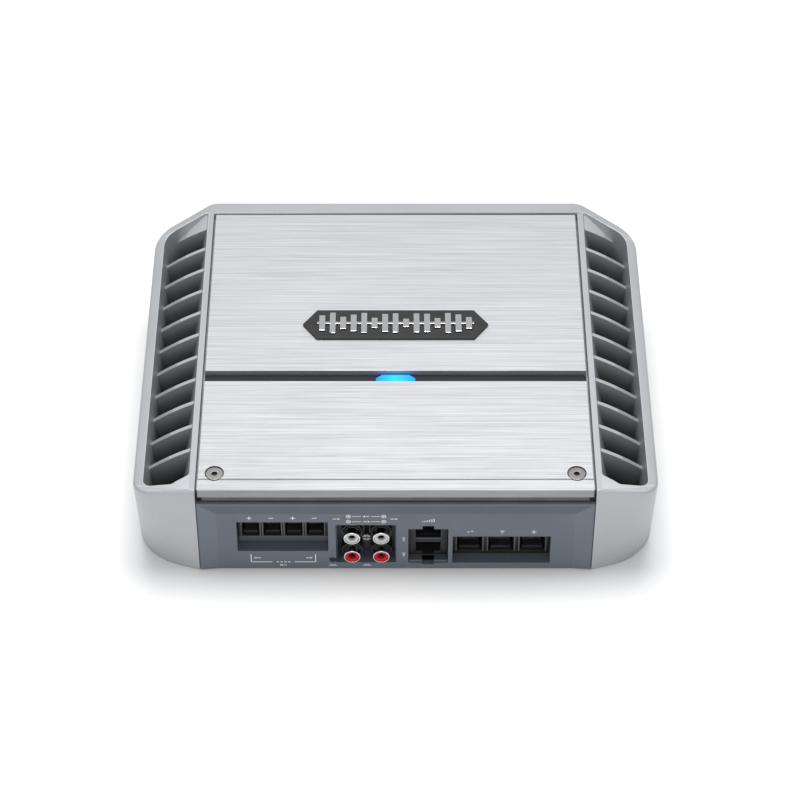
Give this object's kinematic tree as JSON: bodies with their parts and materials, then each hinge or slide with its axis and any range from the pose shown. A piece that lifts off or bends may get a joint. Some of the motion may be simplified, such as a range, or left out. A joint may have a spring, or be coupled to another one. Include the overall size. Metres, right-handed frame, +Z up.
{
  "type": "car amplifier",
  "caption": "Low two-channel car amplifier: finned cast heatsink with brushed top plates, lit channel, lift-off control cover and a connector end for speaker, audio, data and power wires.",
  "frame": {"origin": "middle of the casting's footprint, on the surface it rests on", "axes": "+Z up, +X to the right seen from the connector end, -Y out of the connector end"},
  "size_m": [0.254, 0.2109, 0.0583],
  "materials": {
    "cast_paint": "satin silver-grey paint on cast aluminium",
    "brushed_plate": "brushed, clear anodised",
    "panel_slate": "slate grey, fine texture",
    "black_plastic": "black, semi-matte",
    "seal_grey": "dark grey rubber",
    "chrome": "bright plated",
    "steel": "plain steel",
    "white_plastic": "white",
    "red_plastic": "red",
    "lamp_blue": "lit blue lens",
    "board_green": "green laminate",
    "copper": "wound copper",
    "sleeve_blue": "dark blue sleeve",
    "trim_dark": "dark painted sheet"
  },
  "bodies": {
    "amplifier_body": {"heatsink_casting": "cast_paint", "rear_top_plate": "brushed_plate", "front_panel": "panel_slate", "emblem_base": "black_plastic", "control_deck": "black_plastic", "speaker_terminal_block": "black_plastic", "power_terminal_block": "black_plastic", "rca_housing": "black_plastic", "data_jack": "black_plastic", "transistor_front_left": "black_plastic", "transistor_rear_left": "black_plastic", "transistor_front_right": "black_plastic", "transistor_rear_right": "black_plastic", "cover_seal": "seal_grey", "emblem_relief": "chrome", "rca_ground_screw": "chrome", "rca_shell_upper_left": "chrome", "rca_shell_upper_right": "chrome", "rca_shell_lower_left": "chrome", "rca_shell_lower_right": "chrome", "bottom_screw_1": "steel", "bottom_screw_2": "steel", "bottom_screw_3": "steel", "bottom_screw_4": "steel", "gain_potentiometer": "steel", "crossover_potentiometer": "steel", "boost_potentiometer": "steel", "mode_switch_body": "steel", "clamp_bar_left": "steel", "clamp_bar_right": "steel", "rca_insert_upper_left": "white_plastic", "rca_insert_upper_right": "white_plastic", "rca_insert_lower_left": "red_plastic", "rca_insert_lower_right": "red_plastic", "clip_led": "red_plastic", "light_bar": "lamp_blue", "main_board": "board_green", "control_board": "board_green", "light_board": "board_green", "power_toroid": "copper", "output_inductor_left": "copper", "output_inductor_right": "copper", "capacitor_left": "sleeve_blue", "capacitor_right": "sleeve_blue", "channel_trim": "trim_dark", "bottom_plate": "trim_dark"},
    "front_cover": {"front_cover": "brushed_plate"},
    "cover_screw_left": {"cover_screw_left": "steel"},
    "cover_screw_right": {"cover_screw_right": "steel"},
    "gain_knob": {"gain_knob": "black_plastic"},
    "crossover_knob": {"crossover_knob": "black_plastic"},
    "boost_knob": {"boost_knob": "black_plastic"},
    "mode_switch": {"mode_switch_slider": "white_plastic"},
    "speaker_screw_1": {"speaker_screw_1": "steel"},
    "speaker_screw_2": {"speaker_screw_2": "steel"},
    "speaker_screw_3": {"speaker_screw_3": "steel"},
    "speaker_screw_4": {"speaker_screw_4": "steel"},
    "power_screw_1": {"power_screw_1": "steel"},
    "power_screw_2": {"power_screw_2": "steel"},
    "power_screw_3": {"power_screw_3": "steel"}
  },
  "joints": [
    {"name": "cover_lift", "type": "slide", "parent": "amplifier_body", "child": "front_cover", "axis": [0, 0, 1], "range_m": [0, 0.06]},
    {"name": "cover_screw_left_turn", "type": "hinge", "parent": "front_cover", "child": "cover_screw_left", "pos_m": [-0.087, -0.0926, 0.0557], "axis": [0, 0, 1], "continuous": true},
    {"name": "cover_screw_right_turn", "type": "hinge", "parent": "front_cover", "child": "cover_screw_right", "pos_m": [0.087, -0.0926, 0.0557], "axis": [0, 0, 1], "continuous": true},
    {"name": "gain_turn", "type": "hinge", "parent": "amplifier_body", "child": "gain_knob", "pos_m": [-0.018, -0.0635, 0.047], "axis": [0, 0, 1], "range_deg": [-140, 140]},
    {"name": "crossover_turn", "type": "hinge", "parent": "amplifier_body", "child": "crossover_knob", "pos_m": [0.012, -0.0635, 0.047], "axis": [0, 0, 1], "range_deg": [-140, 140]},
    {"name": "boost_turn", "type": "hinge", "parent": "amplifier_body", "child": "boost_knob", "pos_m": [0.042, -0.0635, 0.047], "axis": [0, 0, 1], "range_deg": [-140, 140]},
    {"name": "mode_switch_slide", "type": "slide", "parent": "amplifier_body", "child": "mode_switch", "axis": [1, 0, 0], "range_m": [-0.0028, 0.0028]},
    {"name": "speaker_screw_1_clamp", "type": "slide", "parent": "amplifier_body", "child": "speaker_screw_1", "axis": [0, 0, -1], "range_m": [0, 0.0035]},
    {"name": "speaker_screw_2_clamp", "type": "slide", "parent": "amplifier_body", "child": "speaker_screw_2", "axis": [0, 0, -1], "range_m": [0, 0.0035]},
    {"name": "speaker_screw_3_clamp", "type": "slide", "parent": "amplifier_body", "child": "speaker_screw_3", "axis": [0, 0, -1], "range_m": [0, 0.0035]},
    {"name": "speaker_screw_4_clamp", "type": "slide", "parent": "amplifier_body", "child": "speaker_screw_4", "axis": [0, 0, -1], "range_m": [0, 0.0035]},
    {"name": "power_screw_1_clamp", "type": "slide", "parent": "amplifier_body", "child": "power_screw_1", "axis": [0, 0, -1], "range_m": [0, 0.0045]},
    {"name": "power_screw_2_clamp", "type": "slide", "parent": "amplifier_body", "child": "power_screw_2", "axis": [0, 0, -1], "range_m": [0, 0.0045]},
    {"name": "power_screw_3_clamp", "type": "slide", "parent": "amplifier_body", "child": "power_screw_3", "axis": [0, 0, -1], "range_m": [0, 0.0045]}
  ]
}
